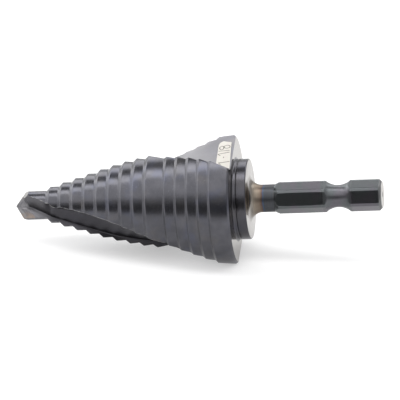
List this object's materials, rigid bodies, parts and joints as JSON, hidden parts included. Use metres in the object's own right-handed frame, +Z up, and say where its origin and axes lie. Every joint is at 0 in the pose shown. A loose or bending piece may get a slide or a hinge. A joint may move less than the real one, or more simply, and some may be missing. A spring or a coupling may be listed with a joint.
{
  "type": "step drill",
  "caption": "Step drill with a split point, a stepped cone with helical flutes, a collar and a hex shank, lying at rest.",
  "frame": {"origin": "centre of the bounding box in X and Y, at the lowest point, where the tool lies on a flat surface", "axes": "+X from the point towards the shank, nearly along the tool's axis, which rises 5.6 degrees towards the shank; +Z up"},
  "size_m": [0.0816, 0.0286, 0.0256],
  "materials": {
    "oxide_steel": "black oxide, satin, with bright ground faces at the point and behind the cone"
  },
  "bodies": {
    "root": {"step_drill": "oxide_steel"}
  },
  "joints": []
}
